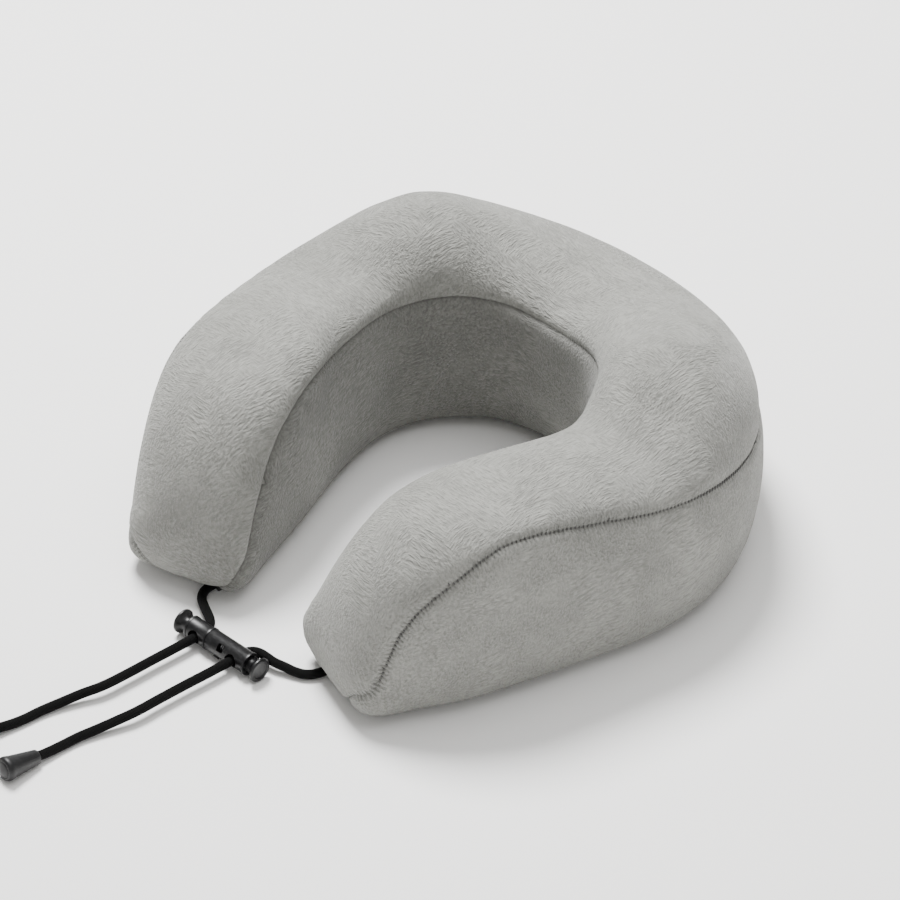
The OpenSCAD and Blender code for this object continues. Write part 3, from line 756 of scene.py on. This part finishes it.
def runs_along(chain_places, tangents, at, places):
    """How far along a chain each place is, and how far from it."""
    tree = BVHTree.FromPolygons([Vector(p) for p in chain_places],
                                [(i, i + 1, i + 1) for i in range(len(chain_places) - 1)])
    run = np.empty(len(places))
    gap = np.empty(len(places))
    for row, place in enumerate(places):
        foot, _, index, gap[row] = tree.find_nearest(place)
        run[row] = at[index] + (foot - Vector(chain_places[index])).dot(Vector(tangents[index]))
    return run, gap


def crease(gap, depth, width):
    return depth * np.exp(-(gap / width) ** 1.3)


form, cover, top_field, hem_field = cover_form()
panel_of = name_panels(cover, top_field, hem_field)
outer_chain = seam_chain(cover, panel_of, "top", "outer")
inner_chain = seam_chain(cover, panel_of, "top", "inner")
chains = {
    "outer": resampled([v.co for v in outer_chain], [v.normal for v in outer_chain], STITCH_PITCH),
    "inner": resampled([v.co for v in inner_chain], [v.normal for v in inner_chain], STITCH_PITCH),
}
cover.verts.index_update()
all_places = [v.co.copy() for v in cover.verts]
runs = {}
for seam, (place, tangent, normal, at) in chains.items():
    runs[seam] = runs_along(place, tangent, at, all_places)
nearer_outer = runs["outer"][1] < runs["inner"][1]
pull = np.where(nearer_outer, np.interp(runs["outer"][0], PULL_AT, PULL), NECK_PULL)
seam_run = np.where(nearer_outer, runs["outer"][0], runs["inner"][0])
seam_gap = np.minimum(runs["outer"][1], runs["inner"][1])
hem_gap = np.abs(np.array([v[hem_field] for v in cover.verts]))
sink = crease(seam_gap, GROOVE_DEPTH, GROOVE_WIDTH) + crease(hem_gap, HEM_DEPTH, GROOVE_WIDTH)
run_layer = cover.verts.layers.float.new("seam_run")
gap_layer = cover.verts.layers.float.new("seam_gap")
pull_layer = cover.verts.layers.float.new("seam_pull")
for vertex, depth, run, gap, tight in zip(cover.verts, sink, seam_run, seam_gap, pull):
    ripple = noise.noise(vertex.co * 28) * 0.5 * MM
    vertex.co += vertex.normal * (ripple - depth)
    vertex.co.z = max(vertex.co.z, FLOOR_LIFT)
    vertex[run_layer] = run
    vertex[gap_layer] = gap
    vertex[pull_layer] = tight


def panel_piece(panel, name, material):
    """One panel of the cover, with the fabric's own thickness."""
    bm = cover.copy()
    keep = {f.index for f in cover.faces if panel_of[f] == panel}
    bm.faces.ensure_lookup_table()
    bmesh.ops.delete(bm, geom=[f for f in bm.faces if f.index not in keep], context="FACES")
    for layer in ("top_field", "hem_field"):
        bm.verts.layers.float.remove(bm.verts.layers.float[layer])
    mesh = mesh_from(bm, name)
    mesh.materials.clear()
    mesh.materials.append(material)
    piece = add_piece(name, mesh)
    thick = piece.modifiers.new("fabric", "SOLIDIFY")
    thick.thickness = FABRIC
    thick.offset = -1
    bpy.context.view_layer.update()
    piece = add_piece(name, smooth_shaded(applied(piece), 60))
    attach(piece, "cushion")
    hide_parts(COVER_NODES[panel])
    return piece


cover.faces.index_update()
cover.normal_update()
panel_piece("top", "cover_top", top_velour)
panel_piece("outer", "cover_outer_wall", wall_velour)
panel_piece("inner", "cover_neck_wall", neck_velour_painted_shade)
panel_piece("bottom", "cover_underside", base_velour_painted_shade)


def stitch_shape():
    """One short stitch, bowed so that its ends go into the fabric, lying along X."""
    bm = bmesh.new()
    bmesh.ops.create_cone(bm, cap_ends=True, segments=5, radius1=STITCH_RADIUS, radius2=STITCH_RADIUS,
                          depth=STITCH_LENGTH)
    bmesh.ops.rotate(bm, verts=bm.verts, matrix=Matrix.Rotation(math.pi / 2, 3, "Y"))
    long_edges = [e for e in bm.edges if e.calc_length() > STITCH_LENGTH * 0.9]
    bmesh.ops.subdivide_edges(bm, edges=long_edges, cuts=3)
    for vertex in bm.verts:
        share = 2 * vertex.co.x / STITCH_LENGTH
        vertex.co.z -= 0.7 * MM * share ** 2
    return mesh_from(bm, "stitch")


def stitching(name, seam, material):
    """A row of stitches across a seam."""
    one = stitch_shape()
    bm = bmesh.new()
    for count, (place, tangent, normal, _) in enumerate(zip(*chains[seam])):
        up = Vector(normal).normalized()
        across = up.cross(Vector(tangent)).normalized()
        lean = math.sin(count * 2.4) * 0.22
        across = (across + Vector(tangent) * (0.25 + lean)).normalized()
        way = across.cross(up)
        turn = Matrix((across, -way, up)).transposed().to_4x4()
        turn.translation = Vector(place) - up * (GROOVE_DEPTH - 0.42 * MM)
        before = len(bm.verts)
        bm.from_mesh(one)
        bm.verts.ensure_lookup_table()
        bmesh.ops.transform(bm, matrix=turn, verts=bm.verts[before:])
    bmesh.ops.recalc_face_normals(bm, faces=bm.faces)
    mesh = smooth_shaded(mesh_from(bm, name), 70)
    mesh.materials.append(material)
    piece = add_piece(name, mesh)
    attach(piece, "cushion")


stitching("outer_seam_stitches", "outer", dark_thread)
cover.free()


def inner_layer(name, node, shrink, thickness, material):
    """The foam or its liner: the even form, a little smaller than the cover's inside."""
    mesh = form.copy()
    mesh.name = name
    places = vertex_places(mesh) - vertex_normals(mesh) * shrink
    places[:, 2] = np.maximum(places[:, 2], vertex_places(mesh)[:, 2].min() + shrink)
    move_vertices(mesh, places)
    mesh.materials.clear()
    mesh.materials.append(material)
    smooth_shaded(mesh)
    piece = add_piece(name, mesh)
    if thickness:
        wall = piece.modifiers.new("cloth", "SOLIDIFY")
        wall.thickness = thickness
        wall.offset = -1
        bpy.context.view_layer.update()
        piece = add_piece(name, applied(piece))
    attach(piece, "cushion")
    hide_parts(node)


inner_layer("foam_filling", "foam_core", 2.4 * MM, 0, white_foam)
inner_layer("foam_liner", "inner_liner", 1.4 * MM, 0.5 * MM, white_knit)


# Zip

def tooth_shape():
    """One turn of the coil: a half ring that stands on the tape, with its pair's side open."""
    bm = bmesh.new()
    bmesh.ops.create_circle(bm, segments=6, radius=TOOTH_WIRE, cap_ends=False,
                            matrix=Matrix.Translation((0, 0, TOOTH_RADIUS)))
    bmesh.ops.spin(bm, geom=bm.edges[:] + bm.verts[:], cent=(0, 0, 0), axis=(1, 0, 0),
                   angle=math.pi, steps=7, use_duplicate=False)
    bmesh.ops.rotate(bm, verts=bm.verts, matrix=Matrix.Rotation(math.pi / 2, 3, "X"))
    bmesh.ops.holes_fill(bm, edges=[e for e in bm.edges if e.is_boundary], sides=8)
    bmesh.ops.recalc_face_normals(bm, faces=bm.faces)
    return mesh_from(bm, "tooth")


def on_track(angle, out=0.0, up=0.0):
    """Where something on the zip stands: X along the zip, Y out of the cover, Z up the tapes."""
    turn = Matrix.Rotation(-math.radians(angle), 4, "Z")
    leaning = Matrix.Rotation(-math.radians(ZIP_LEAN), 4, "X")
    return (Matrix.Translation(TRACK_CENTRE) @ turn @ Matrix.Translation((0, TRACK_RADIUS, 0)) @ leaning
            @ Matrix.Translation((0, out, up)))


def zip_teeth(name, node, side, shift):
    one = tooth_shape()
    bm = bmesh.new()
    step = math.degrees(TOOTH_PITCH / TRACK_RADIUS)
    count = int(2 * ZIP_ANGLE / step)
    for index in range(count):
        angle = -ZIP_ANGLE + (index + 0.25 + shift) * step
        before = len(bm.verts)
        bm.from_mesh(one)
        bm.verts.ensure_lookup_table()
        bmesh.ops.transform(bm, verts=bm.verts[before:],
                            matrix=on_track(angle, -0.35 * MM, side * TOOTH_OFFSET))
    mesh = smooth_shaded(mesh_from(bm, name), 60)
    mesh.materials.append(coil_plastic)
    piece = add_piece(name, mesh)
    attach(piece, "cushion")
    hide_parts(node)


zip_teeth("zip_teeth_upper", "zip_coil_upper", 1, 0)
zip_teeth("zip_teeth_lower", "zip_coil_lower", -1, 0.5)
for node in ("zip_tape_upper", "zip_tape_lower"):
    finished(node, zip_cloth, "cushion", 0.1 * MM, 40)
for node in ("zip_top_stop", "zip_bottom_stop"):
    finished(node, zip_metal, "cushion", 0.2 * MM, 40)
finished("zip_slider", zip_metal, "slider", 0.12 * MM, 40)
finished("zip_pull", zip_metal, "pull", 0.2 * MM, 40)


# Floor and light

def make_floor():
    bm = bmesh.new()
    bmesh.ops.create_grid(bm, x_segments=2, y_segments=2, size=6)
    mesh = mesh_from(bm, "floor")
    material, shader = new_material("floor_paper")
    shader.inputs["Base Color"].default_value = (0.97, 0.965, 0.955, 1)
    shader.inputs["Roughness"].default_value = 0.9
    mesh.materials.append(material)
    add_piece("floor", mesh)


def soft_light(name, place, aim, size, watts, tint=(1, 1, 1)):
    data = bpy.data.lights.new(name, "AREA")
    data.shape = "DISK"
    data.size = size
    data.energy = watts
    data.color = tint
    light = bpy.data.objects.new(name, data)
    light.location = place
    light.rotation_euler = (Vector(aim) - Vector(place)).to_track_quat("-Z", "Y").to_euler()
    bpy.context.scene.collection.objects.link(light)


# Lamps: disk widths in metres and powers in watts, all aimed at the cushion's middle
LIT_POINT = (0, 0, 0.05)
KEY_SIZE, KEY_WATTS = 0.7, 78
TOP_SIZE, TOP_WATTS = 1.6, 16
FILL_SIZE, FILL_WATTS = 1.4, 5
STUDIO_GLOW = 0.46

make_floor()
soft_light("key", (-0.75, 0.25, 1.6), LIT_POINT, KEY_SIZE, KEY_WATTS)
soft_light("top", (0.2, 0.3, 1.8), LIT_POINT, TOP_SIZE, TOP_WATTS)
soft_light("fill", (1.6, -1.0, 0.9), LIT_POINT, FILL_SIZE, FILL_WATTS)
world = bpy.data.worlds.new("studio")
world.use_nodes = True
world.node_tree.nodes["Background"].inputs["Color"].default_value = (1.0, 0.99, 0.97, 1)
world.node_tree.nodes["Background"].inputs["Strength"].default_value = STUDIO_GLOW
bpy.context.scene.world = world
